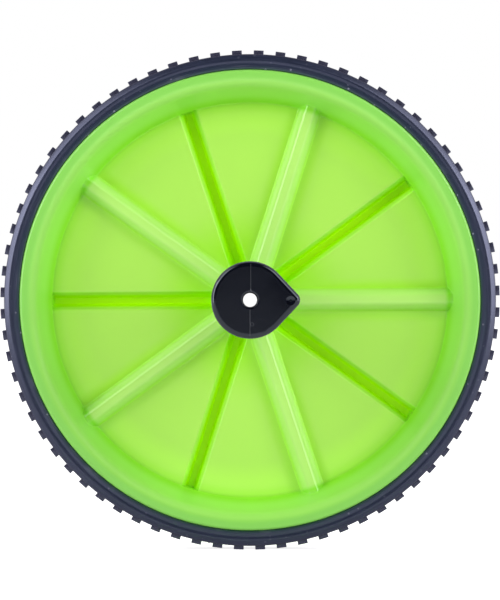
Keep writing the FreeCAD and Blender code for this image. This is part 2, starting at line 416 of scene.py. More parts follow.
@dataclass
class Effects:
    """Shader groups that several finishes share, with the sizes of what they draw."""

    grain_scale: float = 2200.0
    tone_share: float = 0.02
    speck_scale: float = 520.0
    speck_size: float = 0.16
    speck_rarity: float = 0.78
    smear_scale: float = 70.0
    smear_range: Span = (0.56, 0.78)
    smear_strength: float = 0.32
    mark_width: float = 420.0
    mark_scale: float = 9.0
    mark_range: Span = (0.54, 0.74)
    patch_scale: float = 26.0
    patch_range: Span = (0.46, 0.66)
    grain: bpy.types.NodeTree = field(init=False)
    dust: bpy.types.NodeTree = field(init=False)
    scuff: bpy.types.NodeTree = field(init=False)

    def __post_init__(self) -> None:
        """Makes every group once."""
        self.grain = self.make_grain()
        self.dust = self.make_dust()
        self.scuff = self.make_scuff()

    def start(self, name: str, inputs: dict[str, float], outputs: tuple[str, ...]) -> tuple[Graph, dict]:
        """Starts a group that reads a place and some plain values.

        Args:
            name: The group's name.
            inputs: Names and first values of its inputs.
            outputs: Names of its outputs.

        Returns:
            The graph, and the group's input sockets by name.
        """
        graph = Graph(bpy.data.node_groups.new(name, "ShaderNodeTree"))
        graph.socket("Place", "NodeSocketVector", True)
        for label, value in inputs.items():
            graph.socket(label, "NodeSocketFloat", True, value)
        for label in outputs:
            graph.socket(label, "NodeSocketFloat", False)
        return graph, {socket.name: socket for socket in graph.add("NodeGroupInput")}

    def make_grain(self) -> bpy.types.NodeTree:
        """Makes the fine spark-eroded grain of a mould, as a height and a slow tone.

        Returns:
            The group.
        """
        graph, entry = self.start("moulded_grain", {"Scale": self.grain_scale}, ("Height", "Tone"))
        fine = graph.noise(entry["Place"], entry["Scale"], 3.0)
        slow_scale = graph.math("MULTIPLY", entry["Scale"], self.tone_share)
        slow = graph.noise(entry["Place"], slow_scale, 2.0)
        graph.add("NodeGroupOutput", {"Height": fine, "Tone": slow})
        return graph.tree

    def make_dust(self) -> bpy.types.NodeTree:
        """Makes pale specks and thin smears of dust, as one mask.

        Returns:
            The group.
        """
        inputs = {"Speck Scale": self.speck_scale, "Speck Size": self.speck_size, "Amount": 1.0}
        graph, entry = self.start("settled_dust", inputs, ("Mask",))
        cells = graph.add("ShaderNodeTexVoronoi", {"Vector": entry["Place"], "Scale": entry["Speck Scale"]})
        chance = graph.add("ShaderNodeSeparateColor", {0: cells["Color"]})
        size = graph.math("MULTIPLY", chance["Green"], entry["Speck Size"])
        dot = graph.math("LESS_THAN", cells["Distance"], size)
        speck = graph.math("MULTIPLY", dot, graph.math("GREATER_THAN", chance["Red"], self.speck_rarity))
        cloud = graph.noise(entry["Place"], self.smear_scale, 6.0)
        smear = graph.spread(cloud, self.smear_range, (0.0, self.smear_strength))
        both = graph.math("MAXIMUM", speck, smear)
        graph.add("NodeGroupOutput", {"Mask": graph.math("MULTIPLY", both, entry["Amount"], clamp=True)})
        return graph.tree

    def make_scuff(self) -> bpy.types.NodeTree:
        """Makes short rubbed marks that run round the axle, as a mask and the streaks behind it.

        Returns:
            The group.
        """
        graph, entry = self.start("rubbed_marks", {"Amount": 1.0}, ("Mask", "Streaks"))
        place = entry["Place"]
        outwards = graph.math("MULTIPLY", graph.axle_distance(place), self.mark_width)
        along = graph.math("MULTIPLY", graph.axes(place)["Y"], self.mark_width)
        rolled = graph.add("ShaderNodeCombineXYZ", {0: graph.axle_angle(place), 1: outwards, 2: along})[0]
        streaks = graph.noise(rolled, self.mark_scale, 4.0)
        patches = graph.spread(graph.noise(place, self.patch_scale, 2.0), self.patch_range)
        marks = graph.math("MULTIPLY", graph.spread(streaks, self.mark_range), patches)
        mask = graph.math("MULTIPLY", marks, entry["Amount"], clamp=True)
        graph.add("NodeGroupOutput", {"Mask": mask, "Streaks": streaks})
        return graph.tree


# Finishes


class Paint(Graph):
    """A material that is being wired up, with the place on the piece and the effects that it may use."""

    def __init__(self, name: str, effects: Effects) -> None:
        """Starts a material.

        Args:
            name: The material's name.
            effects: The shared shader groups.
        """
        self.material = bpy.data.materials.new(name)
        self.material.use_nodes = True
        super().__init__(self.material.node_tree)
        self.effects = effects
        self.place = self.add("ShaderNodeTexCoord")["Object"]

    def effect(self, tree: bpy.types.NodeTree, **values: object) -> bpy.types.NodeOutputs:
        """The outputs of a shared effect, placed with its own values under names with _ for a space."""
        return self.add("ShaderNodeGroup", {"Place": self.place, **spaced(values)}, node_tree=tree)

    def shade(self, colour: Socket, roughness: object, height: Socket, depth: float,
              **further: object) -> None:
        """Wires the shader and the output.

        Args:
            colour: The base colour's socket.
            roughness: The roughness or its socket.
            height: The bump's height socket.
            depth: The bump's depth, in millimetres.
            further: Further inputs of the shader, under names with _ for a space.
        """
        bump = self.add("ShaderNodeBump", {"Strength": 1.0, "Distance": depth * MM, "Height": height})[0]
        inputs = {"Base Color": colour, "Roughness": roughness, "Normal": bump, **spaced(further)}
        shader = self.add("ShaderNodeBsdfPrincipled", inputs)[0]
        self.add("ShaderNodeOutputMaterial", {0: shader})


class Finish:
    """What every finish shares: a name, and a material that it wires in its own way."""

    name: str

    def material(self, effects: Effects) -> Material:
        """Makes the material.

        Args:
            effects: The shared shader groups.

        Returns:
            The material.
        """
        paint = Paint(self.name, effects)
        self.wire(paint)
        return paint.material

    def wire(self, paint: Paint) -> None:
        """Wires the nodes, in each finish's own way."""
        raise NotImplementedError


@dataclass(frozen=True)
class LimePlastic(Finish):
    """Satin lime moulding with less shine deep in the grooves, whose colour carries painted light.

    Painted shade and glow make it yellower and deeper in colour where it is hollow: in the grooves, at
    the feet of the ribs, round the hub, along the web's outer seam and in the rim's corner. The rim's wall
    carries painted bounce light, the rib crowns and the rim's bend a painted highlight, and the web's
    outer band is painted lighter against the rim's shadow. The masks of the rim and of the web's edge
    are counted outwards from web_radius, the hub's from the axle, the foot's from a rib's middle line,
    and the others up from the wheel's middle plane.
    """

    name: str = "lime_plastic"
    web_colour: Colour = (0.425, 0.82, 0.094)
    # painted shade: deeper, yellower green on the web at the feet of the ribs
    foot_painted_shade: Colour = (0.39, 0.86, 0.038)
    # painted highlight: the ribs painted paler than the web, as on their lit crowns and flanks
    rib_painted_highlight: Colour = (0.47, 0.86, 0.165)
    # painted shadow: the web near the hub darker and deeper green, as under the handle
    hub_painted_shadow: Colour = (0.325, 0.825, 0.0)
    # painted shade: deep green without blue on the groove walls
    groove_wall_painted_shade: Colour = (0.41, 0.86, 0.0)
    # painted glow: the groove floors painted bright, deep green against their shade
    groove_floor_painted_glow: Colour = (0.49, 0.99, 0.0)
    # painted light: the web's outer band painted lighter against the rim's shadow
    web_edge_painted_light: Colour = (0.475, 0.93, 0.09)
    # painted shade: a deeper green seam where the web meets the rim
    seam_painted_shade: Colour = (0.40, 0.91, 0.045)
    # painted shade: deeper green in the corner at the rim wall's foot
    corner_painted_shade: Colour = (0.275, 0.79, 0.03)
    # painted bounce light: the rim wall painted deeper and brighter green, as if lit by the web
    wall_painted_bounce_light: Colour = (0.325, 0.825, 0.098)
    # painted highlight: a paler band on the rim's bend
    bend_painted_highlight: Colour = (0.345, 0.785, 0.122)
    lip_colour: Colour = (0.254, 0.67, 0.1)
    web_radius: float = 73.65
    wall_shade: Span = (0.3, 3.0)
    bend_shade: Span = (3.0, 6.5)
    lip_shade: Span = (6.9, 9.4)
    web_shade: Span = (0.5, -1.5)
    edge_shade: Span = (-14.0, -5.0)
    seam_shade: Span = (-4.5, -0.5)
    hub_shade: Span = (40.0, 14.0)
    foot_shade: Span = (9.0, 4.4)
    rib_shade: Span = (0.6, 3.8)
    groove_shade: Span = (0.2, -2.4)
    floor_shade: Span = (-2.4, -3.3)
    ribs: int = 5
    sheen_level: float = 0.15
    coat_weight: float = 0.9
    roughness: float = 0.25
    grain_scale: float = 1500.0
    grain_depth: float = 0.006

    def wire(self, paint: Paint) -> None:
        """Wires the rim's and the web's colours with their painted light, the grain and the coat.

        Args:
            paint: The material.
        """
        distance = paint.axle_distance(paint.place)
        height, across = self.on_web(paint, distance)

        def past_web(ends: Span) -> Socket:
            """A mask between two distances counted outwards from the web's edge."""
            return paint.between(distance, ends, self.web_radius)

        # The rim: painted shade in the corner, painted bounce light on the wall, a painted highlight on the
        # bend
        rim = paint.layers(
            self.corner_painted_shade,
            (past_web(self.wall_shade), self.wall_painted_bounce_light),
            (past_web(self.bend_shade), self.bend_painted_highlight),
            (past_web(self.lip_shade), self.lip_colour),
        )
        # The web over its own colour: painted shadow, shade, light, highlight on the ribs and glow in the
        # grooves
        web = paint.layers(
            self.web_colour,
            (paint.between(distance, self.hub_shade), self.hub_painted_shadow),
            (past_web(self.edge_shade), self.web_edge_painted_light),
            (past_web(self.seam_shade), self.seam_painted_shade),
            (paint.between(across, self.foot_shade), self.foot_painted_shade),
            (paint.between(height, self.rib_shade), self.rib_painted_highlight),
            (paint.between(height, self.groove_shade), self.groove_wall_painted_shade),
            (paint.between(height, self.floor_shade), self.groove_floor_painted_glow),
        )
        colour = paint.blend(past_web(self.web_shade), rim, web)
        coat = paint.between(height, self.groove_shade, to=(self.coat_weight, 0.0))
        grain = paint.effect(paint.effects.grain, Scale=self.grain_scale)
        paint.shade(colour, self.roughness, grain["Height"], self.grain_depth,
                    Specular_IOR_Level=self.sheen_level, Coat_Weight=coat, Coat_Roughness=self.roughness)

    def on_web(self, paint: Paint, distance: Socket) -> tuple[Socket, Socket]:
        """Where a point lies on the face that it belongs to.

        Args:
            paint: The material.
            distance: The socket of the distance from the axle.

        Returns:
            Sockets of the height over the wheel's middle plane, below 0 deep in a groove, and of the
            distance from the nearest rib's middle line.
        """
        facing = paint.add("ShaderNodeTexCoord")["Normal"]
        outwards = paint.math("SIGN", paint.axes(facing)["Y"])
        height = paint.math("MULTIPLY", paint.axes(paint.place)["Y"], outwards)
        pitch = math.tau / self.ribs
        half_pitch = 0.5
        turns = paint.math("DIVIDE", paint.axle_angle(paint.place), pitch)
        back_shift = paint.math("MULTIPLY", paint.math("ADD", outwards, 1.0), half_pitch / 2)
        off_rib = paint.math("PINGPONG", paint.math("ADD", turns, back_shift), half_pitch)
        across = paint.math("MULTIPLY", paint.math("MULTIPLY", off_rib, pitch), distance)
        return height, across


@dataclass(frozen=True)
class BlackRubber(Finish):
    """Tyre rubber with a blue sheen, streaks, dust and rubbed marks.

    By the rim's lip it has a painted sheen as a lighter band and a painted green reflection of the lime.
    """

    name: str = "black_rubber"
    colour: Colour = (0.009, 0.0134, 0.03)
    streaked_colour: Colour = (0.019, 0.0238, 0.049)
    # painted sheen: a lighter band on the sidewall by the rim's lip, all round
    lip_band_painted_sheen: Colour = (0.014, 0.025, 0.042)
    tread_colour: Colour = (0.028, 0.028, 0.05)
    # painted reflection: a green tint of the lime rim on the rubber at the lip
    lip_painted_reflection: Colour = (0.015, 0.054, 0.03)
    rubbed_colour: Colour = (0.075, 0.08, 0.105)
    dust_colour: Colour = (0.2, 0.21, 0.27)
    sheen_tint: Colour = (0.68, 0.70, 1.0)
    sheen_level: float = 1.0
    lip_radius: float = 86.0
    lip_fade: Span = (0.5, -0.6)
    # where the wear and the band of painted sheen end, going outwards
    wear_and_sheen_radius: float = 87.8
    lip_band_fade: Span = (0.0, -1.5)
    tread_radius: float = 90.3
    tread_fade: Span = (0.0, 0.7)
    worn_share: Span = (0.15, 0.9)
    streak_range: Span = (0.38, 0.62)
    ragged_range: Span = (0.3, 0.7)
    ragged_reach: float = 1.1
    speck_size: float = 0.3
    roughness: float = 0.28
    worn_roughness: float = 0.85
    grain_scale: float = 1800.0
    grain_depth: float = 0.006

    def wire(self, paint: Paint) -> None:
        """Wires the colours by distance from the axle, the wear, the dust and the grain.

        Painted sheen and a painted lime reflection lie among the colours by the rim's lip.

        Args:
            paint: The material.
        """
        grain = paint.effect(paint.effects.grain, Scale=self.grain_scale)
        distance = paint.axle_distance(paint.place)
        amount = paint.between(distance, (self.wear_and_sheen_radius, self.lip_radius), to=self.worn_share)
        scuff = paint.effect(paint.effects.scuff, Amount=amount)
        dust = paint.effect(paint.effects.dust, Amount=amount, Speck_Size=self.speck_size)
        reach = self.ragged_reach * MM
        sway = paint.spread(scuff["Streaks"], self.ragged_range, (-reach, reach))
        ragged = paint.math("ADD", distance, sway)
        colour = paint.layers(
            self.colour,
            (paint.spread(scuff["Streaks"], self.streak_range), self.streaked_colour),
            # painted sheen: the lighter band by the lip, with a ragged edge
            (paint.between(ragged, self.lip_band_fade, self.wear_and_sheen_radius), self.lip_band_painted_sheen),
            (paint.between(distance, self.tread_fade, self.tread_radius), self.tread_colour),
            # painted reflection of the lime rim at the lip
            (paint.between(distance, self.lip_fade, self.lip_radius), self.lip_painted_reflection),
            (scuff["Mask"], self.rubbed_colour),
            (dust["Mask"], self.dust_colour),
        )
        worn = paint.math("ADD", scuff["Mask"], dust["Mask"], clamp=True)
        roughness = paint.spread(worn, (0.0, 1.0), (self.roughness, self.worn_roughness))
        paint.shade(colour, roughness, grain["Height"], self.grain_depth,
                    Specular_Tint=solid(self.sheen_tint), Specular_IOR_Level=self.sheen_level)


@dataclass(frozen=True)
class BlackGrip(Finish):
    """Polished black handle moulding with a faint grain and a little dust."""

    name: str = "black_grip"
    colour: Colour = (0.0012, 0.0016, 0.0055)
    dust_colour: Colour = (0.03, 0.034, 0.046)
    dust_amount: float = 0.2
    sheen_tint: Colour = (0.80, 0.88, 1.0)
    sheen_level: float = 0.8
    roughness: float = 0.07
    roughness_drift: Span = (-0.03, 0.06)
    drift_range: Span = (0.25, 0.75)
    grain_scale: float = 2600.0
    grain_depth: float = 0.002

    def wire(self, paint: Paint) -> None:
        """Wires the dust, the uneven polish and the grain.

        Args:
            paint: The material.
        """
        grain = paint.effect(paint.effects.grain, Scale=self.grain_scale)
        dust = paint.effect(paint.effects.dust, Amount=self.dust_amount)
        colour = paint.blend(dust["Mask"], self.colour, self.dust_colour)
        ends = tuple(self.roughness + drift for drift in self.roughness_drift)
        roughness = paint.spread(grain["Tone"], self.drift_range, ends)
        paint.shade(colour, roughness, grain["Height"], self.grain_depth,
                    Specular_Tint=solid(self.sheen_tint), Specular_IOR_Level=self.sheen_level)


@dataclass(frozen=True)
class PaleFlashGrip(BlackGrip):
    """A paler, rougher grey of the handle's plastic, on its flash marks."""

    name: str = "rubbed_grip"
    colour: Colour = (0.085, 0.088, 0.10)
    dust_colour: Colour = (0.12, 0.13, 0.15)
    sheen_level: float = 0.4
    roughness: float = 0.5


@dataclass(frozen=True)
class ZincSteel(Finish):
    """Bright zinc plate with turning marks round the axle."""

    name: str = "zinc_steel"
    colour: Colour = (0.62, 0.63, 0.65)
    marked_colour: Colour = (0.48, 0.49, 0.51)
    roughness_ends: Span = (0.22, 0.42)
    drift_range: Span = (0.2, 0.8)
    grain_scale: float = 900.0
    mark_depth: float = 0.01

    def wire(self, paint: Paint) -> None:
        """Wires the turning marks and the uneven shine.

        Args:
            paint: The material.
        """
        scuff = paint.effect(paint.effects.scuff)
        grain = paint.effect(paint.effects.grain, Scale=self.grain_scale)
        colour = paint.blend(scuff["Mask"], self.colour, self.marked_colour)
        roughness = paint.spread(grain["Tone"], self.drift_range, self.roughness_ends)
        paint.shade(colour, roughness, scuff["Mask"], self.mark_depth, Metallic=1.0)


@dataclass(frozen=True)
class WhiteAcetal(Finish):
    """Natural white bearing plastic, a little greyed where it runs."""

    name: str = "white_acetal"
    colour: Colour = (0.78, 0.78, 0.74)
    greyed_colour: Colour = (0.42, 0.42, 0.40)
    greyed_amount: float = 0.6
    roughness: float = 0.38
    grain_scale: float = 2000.0
    grain_depth: float = 0.008

    def wire(self, paint: Paint) -> None:
        """Wires the greyed marks and the grain.

        Args:
            paint: The material.
        """
        scuff = paint.effect(paint.effects.scuff, Amount=self.greyed_amount)
        grain = paint.effect(paint.effects.grain, Scale=self.grain_scale)
        colour = paint.blend(scuff["Mask"], self.colour, self.greyed_colour)
        paint.shade(colour, self.roughness, grain["Height"], self.grain_depth)


# Repeats made by geometry nodes


@dataclass(frozen=True)
class RoundTheAxle:
    """A geometry node tree that repeats a mesh round the axle, in one or more rows along it.

    Angles are in degrees. The pitch sways by a sine that starts at the angle sway_from.
    """

    copies: int
    rows: int = 1
    row_pitch: float = 0.0
    first_angle: float = 0.0
    sway: float = 0.0
    sway_from: float = 0.0
    weld: float = 0.0

    def tree(self) -> bpy.types.NodeTree:
        """Makes the tree, whose first row lies on the -Y side.

        Returns:
            The tree.
        """
        graph = Graph(bpy.data.node_groups.new("round_the_axle", "GeometryNodeTree"))
        graph.socket("Shape", "NodeSocketGeometry", True)
        for name in ("Copies", "Rows"):
            graph.socket(name, "NodeSocketInt", True, 1)
        for name in ("Row Pitch", "First Angle", "Sway", "Sway From", "Weld"):
            graph.socket(name, "NodeSocketFloat", True, 0.0)
        graph.socket("Finish", "NodeSocketMaterial", True)
        graph.socket("Shape", "NodeSocketGeometry", False)
        entry = graph.add("NodeGroupInput")
        total = graph.math("MULTIPLY", entry["Copies"], entry["Rows"])
        index = graph.add("GeometryNodeInputIndex")[0]
        row = graph.math("FLOOR", graph.math("DIVIDE", index, entry["Copies"]))
        middle = graph.math("MULTIPLY", graph.math("SUBTRACT", entry["Rows"], 1.0), 0.5)
        along = graph.math("MULTIPLY", graph.math("SUBTRACT", row, middle), entry["Row Pitch"])
        step = graph.math("DIVIDE", math.tau, entry["Copies"])
        even = graph.math("ADD", graph.math("MULTIPLY", index, step), entry["First Angle"])
        wave = graph.math("SINE", graph.math("SUBTRACT", even, entry["Sway From"]))
        angle = graph.math("ADD", even, graph.math("MULTIPLY", wave, entry["Sway"]))
        places = graph.add("ShaderNodeCombineXYZ", {1: along})[0]
        points = graph.add("GeometryNodePoints", {"Count": total, "Position": places})[0]
        turn = graph.add("ShaderNodeCombineXYZ", {1: graph.math("MULTIPLY", angle, -1.0)})[0]
        inputs = {"Points": points, "Instance": entry["Shape"], "Rotation": turn}
        copies = graph.add("GeometryNodeInstanceOnPoints", inputs)[0]
        real = graph.add("GeometryNodeRealizeInstances", {0: copies})[0]
        inputs = {"Geometry": real, "Distance": entry["Weld"]}
        joined = graph.add("GeometryNodeMergeByDistance", inputs)[0]
        inputs = {"Geometry": joined, "Material": entry["Finish"]}
        graph.add("NodeGroupOutput", {0: graph.add("GeometryNodeSetMaterial", inputs)[0]})
        return graph.tree

    def apply(self, shape: Piece, material: Material) -> None:
        """Repeats an object's mesh and leaves it a plain mesh.

        Args:
            shape: The object that holds one copy.
            material: The finish of every copy.
        """
        modifier = shape.modifiers.new("repeat", "NODES")
        modifier.node_group = self.tree()
        values = {"Copies": self.copies, "Rows": self.rows, "Row Pitch": self.row_pitch * MM,
                  "First Angle": math.radians(self.first_angle), "Sway": math.radians(self.sway),
                  "Sway From": math.radians(self.sway_from), "Weld": self.weld * MM, "Finish": material}
        for item in modifier.node_group.interface.items_tree:
            if item.name in values:
                modifier[item.identifier] = values[item.name]
        graph = bpy.context.evaluated_depsgraph_get()
        mesh = bpy.data.meshes.new_from_object(shape.evaluated_get(graph))
        shape.modifiers.clear()
        shape.data = mesh


# The wheel moulding


@dataclass
class WheelMoulding:
    """The lime wheel: hub, web with raised and sunk spokes, slanted rim wall and flat lip."""

    finish: Material
    lip_radius: float = field(default_factory=lambda: node_reach("wheel_disc", 0))
    lip_face: float = field(default_factory=lambda: node_reach("wheel_disc", 1))
    rim_depth: float = 11.6
    rim_wall: float = 2.4
    bend_radius: float = 4.0
    lip_land: float = 3.0
    lip_edge_round: float = 1.1
    bed_edge: float = 3.6
    web_face: float = 1.1
    hub_bore: float = 8.0
    hub_radius: float = 11.5
    hub_end: float = 13.5
    hub_chamfer: float = 0.4
    hub_draft: float = 6.5
    hub_fillet: float = 1.6
    hub_foot: float = 4.0
    spoke_pairs: int = 5
    spoke_turn: float = 0.35
    spoke_room: float = 0.94
    rib_base: float = 8.7
    rib_crown: float = 4.4
    rib_height: float = 4.5
    rib_crown_round: float = 1.4
    rib_foot_round: float = 0.3
    groove_mouth: float = 6.5
    groove_floor: float = 2.6
    groove_depth: float = 4.5
    groove_edge_round: float = 0.45
    groove_floor_round: float = 0.25
    groove_hub_gap: float = 1.5
    groove_end_slope: float = 0.25
    rim_fillet: float = 0.3
    corner_drop: float = 14.0
    corner_reach: Span = (-2.2, 4.2)
    floor_reach: float = 0.2
    crown_reach: float = 1.3
    panel_columns: int = 5
    least_column: float = 0.03
    weld: float = 0.01

    @property
    def web_radius(self) -> float:
        """Where the web meets the slanted rim wall."""
        return self.lip_radius - self.rim_depth

    @property
    def bend_centre(self) -> Point:
        """The centre of the bend between the wall and the lip, on the +Y side."""
        return (self.lip_radius - self.lip_land, self.lip_face - self.bend_radius)

    @property
    def wall_lean(self) -> float:
        """How far the slanted wall leans from the web.

        Returns:
            The angle, in radians.
        """
        across = self.bend_centre[0] - self.web_radius
        along = self.bend_centre[1] - self.web_face
        return math.atan2(along, across) + math.asin(self.bend_radius / math.hypot(across, along))

    def rim_height(self, radius: np.ndarray) -> np.ndarray:
        """How far the rim's surface stands from the wheel's middle plane.

        Args:
            radius: Distances from the axle.

        Returns:
            The heights of the wall, the bend and the lip.
        """
        lean = self.wall_lean
        from_corner = radius - self.web_radius
        wall = self.web_face + from_corner * np.where(from_corner < 0, self.corner_drop, math.tan(lean))
        from_centre = np.clip(radius - self.bend_centre[0], -self.bend_radius, 0.0)
        bend = self.bend_centre[1] + np.sqrt(self.bend_radius ** 2 - from_centre ** 2)
        tangent = self.bend_centre[0] - self.bend_radius * math.sin(lean)
        return np.where(radius < tangent, wall, bend)

    def spoke_height(self, radius: np.ndarray, offset: np.ndarray, spoke: Spoke) -> np.ndarray:
        """How far a spoke stands out of the web's face, or is sunk in it.

        Args:
            radius: Distances from the axle.
            offset: Distances from the spoke's middle line.
            spoke: Whether it is raised or sunk.

        Returns:
            The heights, below 0 where it is sunk.
        """
        if spoke is Spoke.RAISED:
            return ridge(offset, self.rib_base, self.rib_crown, self.rib_height,
                         self.rib_crown_round, self.rib_foot_round)
        depth = ridge(offset, self.groove_mouth, self.groove_floor, self.groove_depth,
                      self.groove_floor_round, self.groove_edge_round)
        hub_end = self.hub_radius + self.groove_hub_gap
        reach = ease(radius, self.web_radius, self.web_radius - self.groove_end_slope)
        return -depth * reach * ease(radius, hub_end, hub_end + self.groove_end_slope)

    def face_height(self, radius: np.ndarray, offset: np.ndarray, spoke: Spoke) -> np.ndarray:
        """How far one whole face of the wheel stands from the middle plane.

        Args:
            radius: Distances from the axle.
            offset: Distances from the nearest spoke's middle line.
            spoke: How that spoke shows on this face.

        Returns:
            The heights.
        """
        web = self.web_face + self.spoke_height(radius, offset, spoke)
        hub = self.hub_end - (radius - self.hub_radius) * self.hub_draft
        rim = self.rim_height(radius)
        filled = smooth_max(rim, smooth_max(hub, web, self.hub_fillet * 2), self.rim_fillet * 2)
        return np.where(radius > self.web_radius + self.rib_height, rim, filled)

    def face_radii(self) -> np.ndarray:
        """How far the rows across one face are from the axle.

        Returns:
            The distances, close together where the face bends.
        """
        foot = self.hub_radius + self.hub_foot
        corner_start, corner_end = (self.web_radius + reach for reach in self.corner_reach)
        lean = math.degrees(self.wall_lean)
        bend = [radius for radius, _ in arc_points(self.bend_centre, self.bend_radius, lean + 90.0, 90.0, 8)]
        flat = runs(
            (self.hub_radius, foot, 12),
            (foot, corner_start, 11),
            (corner_start, corner_end, 26),
            (corner_end, bend[0], 3),
        )
        return np.concatenate([flat, bend[1:], [self.lip_radius - self.lip_edge_round]])

    def offsets(self) -> np.ndarray:
        """How far the columns are from a spoke's middle line.

        Returns:
            The distances, close together where a rib or groove bends.
        """
        bends = (
            (self.groove_mouth, self.groove_edge_round, 7),
            (self.groove_floor, self.floor_reach, 3),
            (self.rib_crown, self.crown_reach, 11),
            (self.rib_base, self.rib_foot_round, 5),
        )
        stations = [width / 2 + np.linspace(-reach, reach, count) for width, reach, count in bends]
        return without_repeats(np.sort(np.concatenate([[0.0], *stations])), self.least_column)

    def half_angles(self, radius: float) -> np.ndarray:
        """The angles of the columns across half a spoke's share of the wheel.

        Args:
            radius: The distance from the axle.

        Returns:
            The angles from the spoke's middle line, in radians.
        """
        half_share = math.pi / (2 * self.spoke_pairs)
        offsets = self.offsets()
        room = radius * math.sin(half_share * self.spoke_room)
        squeezed = offsets * min(1.0, room / offsets[-1])
        near = np.arcsin(squeezed / radius)
        shares = np.arange(1, self.panel_columns + 1) / self.panel_columns
        return np.concatenate([near, near[-1] + (half_share - near[-1]) * shares])

    def row(self, radius: float, height: Callable[[np.ndarray, np.ndarray, Spoke], np.ndarray],
            first_spoke: Spoke) -> np.ndarray:
        """One row of points across a raised spoke's share and the sunk one's beside it.

        Args:
            radius: The row's distance from the axle.
            height: Gives the place along the axle from the radius, the offset and the spoke.
            first_spoke: How the first spoke shows on this row's face.

        Returns:
            The points.
        """
        half = self.half_angles(radius)
        angles = np.concatenate([-half[:0:-1], half])
        offsets = np.abs(radius * np.sin(angles))
        radii = np.full_like(angles, radius)
        first, second = (height(radii, offsets, spoke) for spoke in (first_spoke, first_spoke.other))
        turn = np.concatenate([angles, angles[1:] + math.pi / self.spoke_pairs])
        along = np.concatenate([first, second[1:]])
        return np.stack([radius * np.cos(turn), along, radius * np.sin(turn)], axis=-1)

    def plain_rows(self, outline: list[Point]) -> list[np.ndarray]:
        """Rows at the distances from the axle and the places along it that an outline gives."""
        return [self.row(radius, lambda r, o, s, y=along: np.full_like(r, y), Spoke.RAISED)
                for radius, along in outline]

    def face_rows(self, side: Side) -> list[np.ndarray]:
        """The rows of one face, from the hub to the lip.

        Args:
            side: Which face.

        Returns:
            The rows.
        """
        first = Spoke.RAISED if side is Side.RIGHT else Spoke.SUNK

        def height(radius: np.ndarray, offset: np.ndarray, spoke: Spoke) -> np.ndarray:
            """The place along the axle on this face."""
            return side.value * self.face_height(radius, offset, spoke)

        return [self.row(radius, height, first) for radius in self.face_radii()]

    def channel(self) -> list[Point]:
        """The outline of the lips' edges and of the tyre's channel between them.

        Returns:
            The points, from the -Y lip to the +Y lip.
        """
        edge = (self.lip_radius - self.lip_edge_round, self.lip_face - self.lip_edge_round)
        lip = arc_points(edge, self.lip_edge_round, 80.0, 0.0, 8)
        lean = math.degrees(self.wall_lean)
        inner = arc_points(self.bend_centre, self.bend_radius - self.rim_wall, 90.0, lean + 90.0, 2)
        bed_drop = (inner[-1][1] - self.bed_edge) / math.tan(self.wall_lean)
        under_lip = (self.lip_radius, self.lip_face - self.rim_wall)
        return mirrored([*lip, under_lip, *inner, (inner[-1][0] - bed_drop, self.bed_edge)])

    def hub_rows(self, side: Side) -> list[np.ndarray]:
        """The rows of one hub end, from its bore to its outer edge.

        Args:
            side: Which end.

        Returns:
            The rows.
        """
        chamfer = self.hub_chamfer
        end = [(self.hub_bore, self.hub_end - chamfer), (self.hub_bore + chamfer, self.hub_end),
               (self.hub_radius - chamfer, self.hub_end)]
        return self.plain_rows([(radius, side.value * along) for radius, along in end])

    def build(self) -> Piece:
        """Makes one pair of spokes and repeats it round the axle.

        Returns:
            The finished piece.
        """
        front, back = (self.hub_rows(side) + self.face_rows(side) for side in Side)
        sector = Surface()
        sector.add_grid(np.stack(front + self.plain_rows(self.channel()) + back[::-1]), close_rows=True)
        piece = sector.build("wheel_moulding", self.finish)
        RoundTheAxle(self.spoke_pairs, first_angle=self.spoke_turn, weld=self.weld).apply(piece, self.finish)
        return piece

    def dress(self, piece: Piece) -> None:
        """Puts the piece on its body in place of the plain solid."""
        place_piece(piece, Body.WHEEL, "wheel_disc")


# The tyre


